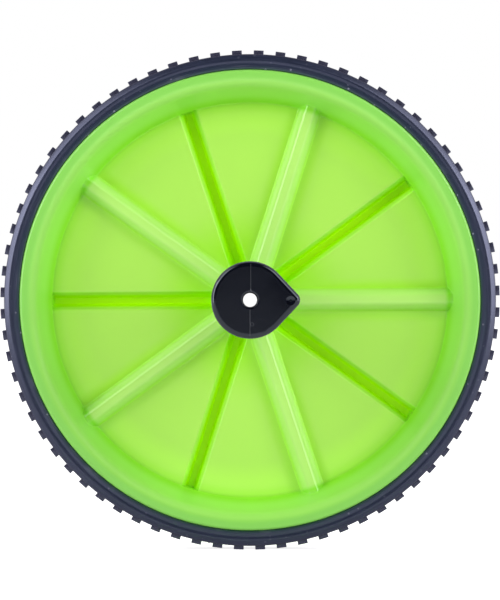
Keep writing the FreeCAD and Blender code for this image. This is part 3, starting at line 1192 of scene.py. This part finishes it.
@dataclass
class Tyre:
    """The rubber tyre: band, foot, sidewalls with a shallow groove, shoulders and tread blocks.

    The foot's toe and heel are counted in from the rim's lip and from the tyre's side face.
    """

    finish: Material
    wheel: WheelMoulding
    tread_radius: float = field(default_factory=lambda: node_reach("tyre", 0))
    face: float = field(default_factory=lambda: node_reach("tyre", 1))
    seat_gap: float = 0.02
    seat_depth: float = 2.0
    foot_toe: Point = (4.0, 5.0)
    foot_heel: Point = (0.4, 3.0)
    shoulder_width: float = 1.95
    shoulder_slope: float = 31.0
    shoulder_start_round: float = 1.4
    shoulder_round: float = 0.6
    groove_height: float = 2.3
    groove_half_width: float = 1.0
    groove_depth: float = 0.1
    lip_bead: float = 0.5
    block_count: int = 72
    block_rows: int = 3
    block_height: float = 1.4
    block_length: float = 3.7
    block_round: float = 0.14
    block_root: float = 0.5
    first_angle: float = 2.7
    stretch: float = 0.6
    stretch_from: float = 58.0
    row_gap: float = 1.3
    tread_setback: float = 1.7
    band_steps: int = 288
    band_skin: float = 0.01
    splice_angle: float = 260.4
    splice_width: float = 0.5
    splice_flat: float = 0.2
    splice_proud: float = 0.16

    @property
    def base_radius(self) -> float:
        """The radius of the band between the tread blocks."""
        return self.tread_radius - self.block_height

    @property
    def tread_half(self) -> float:
        """How far the tread reaches from the wheel's middle plane."""
        return self.face - self.tread_setback

    @property
    def block_width(self) -> float:
        """The width of a tread block along the axle."""
        return (2 * self.tread_half - (self.block_rows - 1) * self.row_gap) / self.block_rows

    def sidewall(self) -> list[Point]:
        """The outline of the +Y side, from the rim's lip over the shoulder to the tread.

        Returns:
            The points.
        """
        seat = self.wheel.lip_radius + self.seat_gap
        groove = self.wheel.lip_radius + self.groove_height
        dip = []
        for share in np.linspace(-1.0, 1.0, 9):
            depth = self.groove_depth * math.cos(share * math.pi / 2) ** 2
            dip.append((groove + share * self.groove_half_width, self.face - depth))
        drop = self.shoulder_width * math.tan(math.radians(self.shoulder_slope))
        start = (self.base_radius - self.shoulder_width, self.face)
        edge = (self.base_radius, self.face - drop)
        tread = (self.base_radius, self.tread_half)
        bend = rounded_corner(dip[-1], start, edge, self.shoulder_start_round, 5)
        shoulder = rounded_corner(start, edge, tread, self.shoulder_round, 6)
        bead_centre = (seat + self.lip_bead, self.face - self.lip_bead)
        bead = arc_points(bead_centre, self.lip_bead, 180.0, 90.0, 4)
        return [(seat, self.face - self.seat_depth), *bead, *dip, *bend, *shoulder, tread]

    def outline(self) -> list[Point]:
        """The closed outline of the band.

        Returns:
            The points, from the foot on the -Y side round to the +Y side.
        """
        foot = [(self.wheel.lip_radius - inwards, self.face - back)
                for inwards, back in (self.foot_toe, self.foot_heel)]
        return mirrored(foot + self.sidewall())

    def band(self) -> np.ndarray:
        """The band, with the splice standing a little proud across it.

        Returns:
            The band as a grid.
        """
        splice = math.radians(self.splice_angle)
        splice_columns = splice + self.splice_width / self.base_radius * np.linspace(-1.0, 1.0, 7)
        angles = np.sort(np.concatenate([full_turn(self.band_steps), splice_columns]))
        grid = turned_grid(self.outline(), angles)
        off = np.abs(angles - splice) * self.base_radius
        proud = self.splice_proud * (1.0 - ease(off, self.splice_flat, self.splice_width))
        normal = np.stack([np.cos(angles), np.zeros_like(angles), np.sin(angles)], axis=-1)
        outer = np.linalg.norm(grid[..., ::2], axis=-1) > self.base_radius - self.band_skin
        return grid + np.where(outer, proud, 0.0)[..., None] * normal

    def block(self) -> np.ndarray:
        """One tread block at +X on the axle's middle.

        Returns:
            Its rings, from its root to its top.
        """
        length, width = self.block_length / 2, self.block_width / 2
        rings = [self.block_ring(self.base_radius - self.block_root, length, width)]
        for drop, inset in quarter_round(self.block_round, (0.0, 30.0, 60.0, 90.0)):
            rings.append(self.block_ring(self.tread_radius - drop, length - inset, width - inset))
        rings.append(self.block_ring(self.tread_radius, length / 2, width / 2))
        return np.stack(rings)

    def block_ring(self, radius: float, half_length: float, half_width: float) -> np.ndarray:
        """One ring of a tread block, a rectangle with rounded corners that lies on the tread's curve.

        Args:
            radius: The ring's distance from the axle.
            half_length: Half its length round the tyre.
            half_width: Half its width along the axle.

        Returns:
            The ring's points.
        """
        corner = min(self.block_round, half_length, half_width)
        ring = []
        for quarter, (side, end) in enumerate(((1, 1), (-1, 1), (-1, -1), (1, -1))):
            for share in (0.0, 0.5, 1.0):
                angle = math.pi / 2 * (quarter + share)
                across = side * (half_length - corner) + corner * math.cos(angle)
                along = end * (half_width - corner) + corner * math.sin(angle)
                turn = across / self.tread_radius
                ring.append((radius * math.cos(turn), along, radius * math.sin(turn)))
        return np.array(ring)

    def tread(self) -> Piece:
        """Makes all the tread blocks, repeated round the axle in rows.

        Returns:
            The blocks as one object.
        """
        shape = Surface()
        rings = self.block()
        shape.add_grid(rings, close_columns=True)
        top = shape.count - rings.shape[1]
        shape.faces.append(tuple(range(top, shape.count)))
        shape.faces.append(tuple(range(rings.shape[1] - 1, -1, -1)))
        blocks = shape.build("tread_block", self.finish)
        repeat = RoundTheAxle(self.block_count, self.block_rows, self.block_width + self.row_gap,
                              self.first_angle, self.stretch, self.stretch_from)
        repeat.apply(blocks, self.finish)
        return blocks

    def build(self) -> Piece:
        """Makes the band and the tread blocks as one piece.

        Returns:
            The finished piece.
        """
        blocks = self.tread()
        whole = Surface()
        whole.add_grid(self.band(), close_rows=True, close_columns=True)
        whole.add_mesh(blocks.data)
        bpy.data.objects.remove(blocks)
        return whole.build("tyre_rubber", self.finish)

    def dress(self, piece: Piece) -> None:
        """Puts the piece on its body in place of the plain solid."""
        place_piece(piece, Body.WHEEL, "tyre")


# The handles


@dataclass
class Handle:
    """A push-on handle: drop-shaped flanges, a grip with finger scoops, and a hole in its end.

    A ring on the flat end is given by its middle in X and Z and its radius.
    """

    finish: Material
    side: Side
    start: float = 16.3
    end: float = field(default_factory=lambda: node_reach("handle_right", 1))
    end_wall: float = 4.0
    end_shares: tuple[float, ...] = (0.03, 0.2, 0.5, 0.8, 0.96, 1.0)
    hole_radius: float = 2.77
    hole_round: float = 0.25
    bore_radius: float = 6.0
    palm_radius: float = 11.0
    palm_swell: float = 0.8
    tip_round: float = 3.4
    ridge_proud: float = 3.6
    scoop_proud: float = 1.2
    finger_count: int = 4
    grip_steps: int = 80
    flange_radius: float = 13.6
    flange_proud: float = 3.96
    flange_tip_round: float = 2.92
    flange_thickness: float = 7.0
    flange_round: float = 1.6
    neck_round: float = 1.5
    neck_inset: float = 0.15
    neck_share: float = 0.7
    mark_proud: float = 0.1
    pin_ring: Ring = (4.0, -8.9, 2.4)
    pin_ring_width: float = 0.24
    pin_ring_proud: float = 0.02
    gate_ring: Ring = (14.2, -0.2, 1.1)
    gate_ring_width: float = 1.2
    gate_edge: float = 0.07
    gate_slope: Point = (0.2, 0.8)
    ring_steps: int = 40

    @property
    def end_face(self) -> float:
        """The place of the flat end, which the moulding marks stand out of."""
        return self.end - self.mark_proud

    @property
    def grip_ends(self) -> Span:
        """Where the grip starts and ends along the axle, between the flanges."""
        return (self.start + self.flange_thickness, self.end - self.flange_thickness)

    def drop(self, palm: float, proud: float, tip: float) -> np.ndarray:
        """A drop outline: a palm arc, a tip arc and the straight flanks between them.

        Args:
            palm: The palm arc's radius about the axle.
            proud: How far the tip stands further out than the palm arc.
            tip: The tip arc's radius.

        Returns:
            Points in X and Z, anticlockwise from the tip.
        """
        centre = palm + proud - tip
        slant = math.degrees(math.acos((palm - tip) / centre))
        tip_arc = arc_points((centre, 0.0), tip, 0.0, slant, 8)
        palm_arc = arc_points((0.0, 0.0), palm, slant, 180.0, 32)
        flank = np.linspace(tip_arc[-1], palm_arc[0], 7)[1:-1]
        upper = np.concatenate([tip_arc, flank, palm_arc])
        lower = upper[-2:0:-1] * np.array([1.0, -1.0])
        return np.concatenate([upper, lower])

    def circle(self, radius: float) -> np.ndarray:
        """A circle about the axle whose points face those of the flange's drop outline."""
        across, up = self.flange(0.0).T
        return radius * np.stack([across, up], axis=-1) / np.hypot(across, up)[:, None]

    def flange(self, inset: float) -> np.ndarray:
        """The flange's outline, drawn in all round by a distance."""
        return self.drop(self.flange_radius - inset, self.flange_proud, self.flange_tip_round - inset)

    def grip(self, along: float) -> np.ndarray:
        """The grip's outline at a place along the axle.

        Args:
            along: The distance from the wheel's middle plane.

        Returns:
            The outline's points.
        """
        first, last = self.grip_ends
        share = (along - first) / (last - first)
        scoop = (1.0 - math.cos(math.tau * self.finger_count * share)) / 2
        palm = self.palm_radius + self.palm_swell * math.sin(math.pi * share)
        proud = self.ridge_proud + (self.scoop_proud - self.ridge_proud) * scoop
        return self.drop(palm, proud, self.tip_round)

    def flange_rows(self, low: float, high: float) -> list[tuple[np.ndarray, float]]:
        """The side of a flange with both its rims rounded, from the lower place to the higher.

        Args:
            low: The flange's face nearer the wheel.
            high: Its face further from the wheel.

        Returns:
            Outlines, each with its place along the axle.
        """
        bend = quarter_round(self.flange_round, np.linspace(0.0, 90.0, 10))
        lower = [(self.flange(inset), low + rise) for inset, rise in bend]
        upper = [(self.flange(inset), high - rise) for rise, inset in bend]
        return lower + upper

    def neck_rows(self, flange_face: float, away: int) -> list[tuple[np.ndarray, float]]:
        """The rounded corner between a flange's face and the grip.

        Args:
            flange_face: The place of the flange's face.
            away: 1 if the grip lies towards the handle's end, or -1.

        Returns:
            Outlines from the flange towards the grip, each with its place along the axle.
        """
        outer = self.flange(self.flange_round + self.neck_inset)
        rows = []
        for outwards, rise in quarter_round(1.0, np.linspace(0.0, 90.0, 6)):
            along = flange_face + away * self.neck_round * rise
            inner = self.grip(along)
            rows.append((inner + (outer - inner) * outwards * self.neck_share, along))
        return rows

    def end_rows(self) -> list[tuple[np.ndarray, float]]:
        """The flat end from its rim in to the rounded edge of the hole, then the hole's wall.

        Returns:
            Outlines, each with its place along the axle.
        """
        rim = self.flange(self.flange_round)
        mouth = self.circle(self.hole_radius + self.hole_round)
        rows = [(rim + (mouth - rim) * share, self.end_face) for share in self.end_shares]
        for outwards, drop in quarter_round(self.hole_round, (30.0, 60.0, 90.0)):
            rows.append((self.circle(self.hole_radius + outwards), self.end_face - drop))
        rows.append((self.circle(self.hole_radius), self.end - self.end_wall))
        return rows

    def rows(self) -> list[tuple[np.ndarray, float]]:
        """The whole handle, from its inner face along the outside, and back through the bore.

        Returns:
            Outlines, each with its place along the axle.
        """
        first, last = self.grip_ends
        places = np.linspace(first + self.neck_round, last - self.neck_round, self.grip_steps + 1)
        rows = [(self.circle(self.bore_radius), self.start)]
        rows += self.flange_rows(self.start, first)
        rows += self.neck_rows(first, 1)
        rows += [(self.grip(along), along) for along in places[1:-1]]
        rows += self.neck_rows(last, -1)[::-1]
        rows += self.flange_rows(last, self.end_face)
        rows += self.end_rows()
        rows.append((self.circle(self.bore_radius), self.end - self.end_wall))
        return rows

    def placed(self, flat: np.ndarray, along: float) -> np.ndarray:
        """Points in X and Z set at a place along the axle, on the handle's side."""
        sign = self.side.value
        return np.stack([flat[:, 0], np.full(len(flat), sign * along), -sign * flat[:, 1]], axis=-1)

    def end_ring(self, ring: Ring, section: list[Point], foot: float, steps: int) -> np.ndarray:
        """A ring that stands out of the flat end.

        Args:
            ring: The place of its middle in X and Z, and its radius.
            section: Points across it, as distances from that radius and out of the flat end.
            foot: How deep its foot is sunk in the end.
            steps: How many points it has round it.

        Returns:
            The ring as a closed grid.
        """
        *middle, radius = ring
        angles = full_turn(steps)
        circle = np.stack([np.cos(angles), np.sin(angles)], axis=-1)
        whole = [(section[0][0], -foot), *section, (section[-1][0], -foot)]
        return np.stack([self.placed(np.array(middle) + (radius + offset) * circle, self.end_face + rise)
                         for offset, rise in whole])

    def pin_mark(self) -> np.ndarray:
        """The ejector pin's faint ring.

        Returns:
            The ring as a closed grid.
        """
        half = self.pin_ring_width / 2
        section = [(-half, 0.0), (0.0, self.pin_ring_proud), (half, 0.0)]
        return self.end_ring(self.pin_ring, section, self.mark_proud, self.ring_steps)

    def gate_mark(self) -> np.ndarray:
        """The gate's round scar, steep at its rim and falling slowly to its middle.

        Returns:
            The scar as a closed grid.
        """
        half = self.gate_ring_width / 2
        crest = half - self.gate_edge
        back, share = self.gate_slope
        section = [(-half, 0.0), (crest - back, self.mark_proud * share),
                   (crest, self.mark_proud), (half, 0.0)]
        return self.end_ring(self.gate_ring, section, self.mark_proud, self.ring_steps)

    def build(self) -> Piece:
        """Makes the handle for its side.

        Returns:
            The finished piece.
        """
        skin = Surface()
        outside = np.stack([self.placed(outline, along) for outline, along in self.rows()])
        for grid in (outside, self.pin_mark(), self.gate_mark()):
            skin.add_grid(grid, close_rows=True, close_columns=True)
        return skin.build("handle_moulding_" + self.side.word, self.finish)

    def dress(self, piece: Piece) -> None:
        """Puts the piece on its body in place of the plain solid."""
        place_piece(piece, Body.FRAME, "handle_" + self.side.word)


@dataclass
class MouldMarks:
    """The pale flash that the mould leaves on a handle's flat end: parting line, nub and a small curl."""

    finish: Material
    handle: Handle
    upper_width: float = 0.11
    lower_width: float = 0.15
    line_lean: float = 0.28
    line_reach: float = 12.6
    line_gap: float = 3.35
    line_taper: float = 0.6
    nub_size: Span = (0.3, 1.0)
    nub_drop: float = 0.1
    nub_taper: float = 0.4
    curl: Ring = (0.72, -8.5, 0.6)
    curl_width: float = 0.12
    curl_share: float = 0.6
    curl_steps: int = 48
    sunk: float = 0.15

    def slab(self, foot: np.ndarray, top: np.ndarray) -> np.ndarray:
        """A small slab with slanted sides, as rings from its sunk foot to its closed top.

        Args:
            foot: Points of its foot in X and Z.
            top: The matching points of its top.

        Returns:
            The rings, with the first and the last drawn together.
        """
        foot_middle, top_middle = (np.broadcast_to(flat.mean(axis=0), flat.shape) for flat in (foot, top))
        proud = self.handle.mark_proud
        rings = ((foot_middle, -self.sunk), (foot, -self.sunk), (foot, 0.0),
                 (top, proud), (top_middle, proud))
        return np.stack([self.handle.placed(flat, self.handle.end_face + rise) for flat, rise in rings])

    def line(self, across: float, low: float, high: float, width: float) -> np.ndarray:
        """A thin upright ridge on the end face.

        Args:
            across: The place of its middle in X.
            low: Its lower end in Z.
            high: Its upper end in Z.
            width: Its width at the foot.

        Returns:
            Its rings.
        """
        middle = np.array([(across, low), (across, low), (across, high), (across, high)])
        foot = middle + np.array([(-1.0, 0.0), (1.0, 0.0), (1.0, 0.0), (-1.0, 0.0)]) * width / 2
        return self.slab(foot, foot + (middle - foot) * self.line_taper)

    def nub(self) -> np.ndarray:
        """The small pointed scrap of flash above the hole.

        Returns:
            Its rings.
        """
        half, height = self.nub_size
        low = self.line_gap - self.nub_drop
        lean = self.line_lean
        foot = np.array([(lean - half, low), (lean + half, low), (lean, low + height)])
        return self.slab(foot, foot + (foot.mean(axis=0) - foot) * self.nub_taper)

    def curl_ring(self) -> np.ndarray:
        """The thin round curl of flash.

        Returns:
            The curl as a closed grid.
        """
        half = self.curl_width / 2
        section = [(-half, 0.0), (0.0, self.handle.mark_proud * self.curl_share), (half, 0.0)]
        return self.handle.end_ring(self.curl, section, self.sunk, self.curl_steps)

    def build(self) -> Piece:
        """Makes all the marks of one handle as one piece.

        Returns:
            The finished piece.
        """
        upper = self.line(self.line_lean, self.line_gap, self.line_reach, self.upper_width)
        lower = self.line(0.0, -self.line_reach, -self.line_gap, self.lower_width)
        marks = Surface()
        for shape in (upper, lower, self.nub()):
            marks.add_grid(shape, close_columns=True)
        marks.add_grid(self.curl_ring(), close_rows=True, close_columns=True)
        return marks.build("mould_marks_" + self.handle.side.word, self.finish)

    def dress(self, piece: Piece) -> None:
        """Puts the marks on the handle's body beside its skin."""
        place_piece(piece, Body.FRAME, "handle_" + self.handle.side.word)


# Pieces whose solids stay


@dataclass(frozen=True)
class TurnedHardware:
    """The tube, bushes and washers, whose own solids are already right."""

    steel: Material
    acetal: Material

    def dress(self) -> None:
        """Gives each solid its finish."""
        for name, solid_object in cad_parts.items():
            if name.startswith(("axle_tube", "thrust_washer")):
                self.paint(solid_object, self.steel)
            elif name.startswith("hub_bush"):
                self.paint(solid_object, self.acetal)

    def paint(self, solid_object: Piece, material: Material) -> None:
        """Puts a finish in every material slot of a solid.

        Args:
            solid_object: The solid.
            material: The finish.
        """
        for holder in solid_object.material_slots:
            holder.material = material
        log.info("%s keeps its solid in %s", solid_object.name, material.name)


def place_piece(piece: Piece, body: Body, node: str) -> None:
    """Makes a piece ride on a body in place of a solid.

    Args:
        piece: The finished piece.
        body: The body that it moves with.
        node: The solid that it stands for.
    """
    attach(piece, body.value)
    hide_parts(node)
    log.info("%s stands for %s with %d faces", piece.name, node, len(piece.data.polygons))


# The studio


@dataclass(frozen=True)
class SoftBox:
    """A rectangular lamp that faces the wheel, with its power in watts."""

    name: str
    place: Place
    size: Span
    watts: float

    def hang(self, side: str, away: float) -> None:
        """Hangs the lamp at one side of the wheel.

        Args:
            side: That side's name.
            away: 1 for the camera's right and -1 for its left.
        """
        data = bpy.data.lights.new(f"{self.name}_{side}", "AREA")
        data.shape = "RECTANGLE"
        data.size, data.size_y = (length * MM for length in self.size)
        data.energy = self.watts
        lamp = linked(data.name, data)
        across, along, up = self.place
        lamp.location = Vector((away * across, along, up)) * MM
        lamp.rotation_euler = (-lamp.location).to_track_quat("-Z", "Y").to_euler()
        lamp.visible_camera = False


@dataclass
class Studio:
    """A white floor and surroundings, soft lamps and the camera.

    Mirrored rays see white from mirror_floor on along the floor, and from backdrop on by the Y of their
    heading, so that what faces the camera mirrors the dim room in front of it.
    """

    floor_height: float = field(default_factory=lambda: -node_reach("tyre", 2))
    floor_size: float = 60000.0
    floor_tone: float = 0.8
    floor_bounce: float = 0.82
    shadow_share: float = 0.16
    mirror_floor: Span = (50.0, 250.0)
    backdrop: Span = (-0.35, 0.25)
    backdrop_light: float = 1.0
    room_light: float = 0.05
    boxes: tuple[SoftBox, ...] = (
        SoftBox("box", (1370.0, -751.0, 342.0), (700.0, 900.0), 9.5),
        SoftBox("box_high", (950.0, -940.0, 880.0), (900.0, 900.0), 7.9),
    )
    camera_distance: float = 2000.0
    camera_reach: float = 100000.0
    photo_height: float = 600.0
    pixels_per_mm: float = 2.7005
    outline_plane: float = 12.5
    sensor: float = 36.0

    def build(self) -> None:
        """Sets the view, the world, the floor, the lamps and the camera."""
        bpy.context.scene.view_settings.view_transform = "Standard"
        self.make_world()
        self.make_floor()
        for side, away in (("right", 1.0), ("left", -1.0)):
            for box in self.boxes:
                box.hang(side, away)
        self.make_camera()

    def seen_white(self, graph: Graph, behind: Socket) -> Socket:
        """How far a ray is to see white: from the camera, through glass, or mirrored from behind.

        Args:
            graph: The graph of the world or the floor.
            behind: The socket of how far the seen place is on the backdrop's side.

        Returns:
            The share's socket.
        """
        path = graph.add("ShaderNodeLightPath")
        shown = graph.math("MAXIMUM", path["Is Camera Ray"], path["Is Transmission Ray"])
        return graph.math("MAXIMUM", shown, graph.math("MULTIPLY", path["Is Glossy Ray"], behind))

    def make_world(self) -> None:
        """White where it is seen, with a bright backdrop behind the wheel and a dim room in front of it."""
        world = bpy.data.worlds.new("studio")
        bpy.context.scene.world = world
        world.use_nodes = True
        graph = Graph(world.node_tree)
        heading = graph.add("ShaderNodeTexCoord")["Generated"]
        behind = graph.spread(graph.axes(heading)["Y"], self.backdrop)
        level = graph.spread(behind, (0.0, 1.0), (self.room_light, self.backdrop_light))
        strength = graph.math("MAXIMUM", self.seen_white(graph, behind), level)
        light = graph.add("ShaderNodeBackground", {"Color": (1.0, 1.0, 1.0, 1.0), "Strength": strength})[0]
        graph.add("ShaderNodeOutputWorld", {0: light})

    def floor_material(self) -> Material:
        """A pale material that shows white, keeps a soft shadow and is clear from below.

        Returns:
            The material.
        """
        material = bpy.data.materials.new("studio_floor")
        material.use_nodes = True
        graph = Graph(material.node_tree)
        camera_ray = graph.add("ShaderNodeLightPath")["Is Camera Ray"]
        tone = graph.blend(camera_ray, (self.floor_bounce,) * 3, (self.floor_tone,) * 3)
        matte = graph.add("ShaderNodeBsdfDiffuse", {"Color": tone})[0]
        surface = graph.add("ShaderNodeNewGeometry")
        behind = graph.between(graph.axes(surface["Position"])["Y"], self.mirror_floor)
        strength = graph.math("MULTIPLY", self.seen_white(graph, behind), 1.0 - self.shadow_share)
        white = graph.add("ShaderNodeEmission", {"Strength": strength})[0]
        shown = graph.add("ShaderNodeAddShader", {0: matte, 1: white})[0]
        clear = graph.add("ShaderNodeBsdfTransparent")[0]
        both = graph.add("ShaderNodeMixShader", {0: surface["Backfacing"], 1: shown, 2: clear})[0]
        graph.add("ShaderNodeOutputMaterial", {0: both})
        return material

    def make_floor(self) -> None:
        """The floor, which the tyre stands on."""
        half = self.floor_size / 2 * MM
        height = self.floor_height * MM
        mesh = bpy.data.meshes.new("studio_floor")
        corners = [(x * half, y * half, height) for x, y in ((-1, -1), (1, -1), (1, 1), (-1, 1))]
        mesh.from_pydata(corners, [], [(0, 1, 2, 3)])
        mesh.materials.append(self.floor_material())
        floor = linked("studio_floor", mesh)

    def make_camera(self) -> None:
        """The camera on the axle's line, with the wheel as wide as the picture."""
        data = bpy.data.cameras.new("camera")
        data.sensor_width = self.sensor
        shown = self.photo_height / self.pixels_per_mm
        data.lens = self.sensor * (self.camera_distance - self.outline_plane) / shown
        data.clip_end = self.camera_reach * MM
        camera = linked("camera", data)
        camera.location = (0.0, -self.camera_distance * MM, 0.0)
        camera.rotation_euler = (math.pi / 2, 0.0, 0.0)
        bpy.context.scene.camera = camera


def main() -> None:
    """Builds and dresses every piece, then the studio."""
    logging.basicConfig(level=logging.INFO, format="%(name)s: %(message)s")
    effects = Effects()
    wheel = WheelMoulding(LimePlastic().material(effects))
    wheel.dress(wheel.build())
    tyre = Tyre(BlackRubber().material(effects), wheel)
    tyre.dress(tyre.build())
    grip = BlackGrip().material(effects)
    # a paler, rougher grey for the flash marks on the handles' ends
    rubbed = PaleFlashGrip().material(effects)
    for side in Side:
        handle = Handle(grip, side)
        handle.dress(handle.build())
        marks = MouldMarks(rubbed, handle)
        marks.dress(marks.build())
    TurnedHardware(ZincSteel().material(effects), WhiteAcetal().material(effects)).dress()
    Studio().build()


if __name__ == "__main__":
    main()
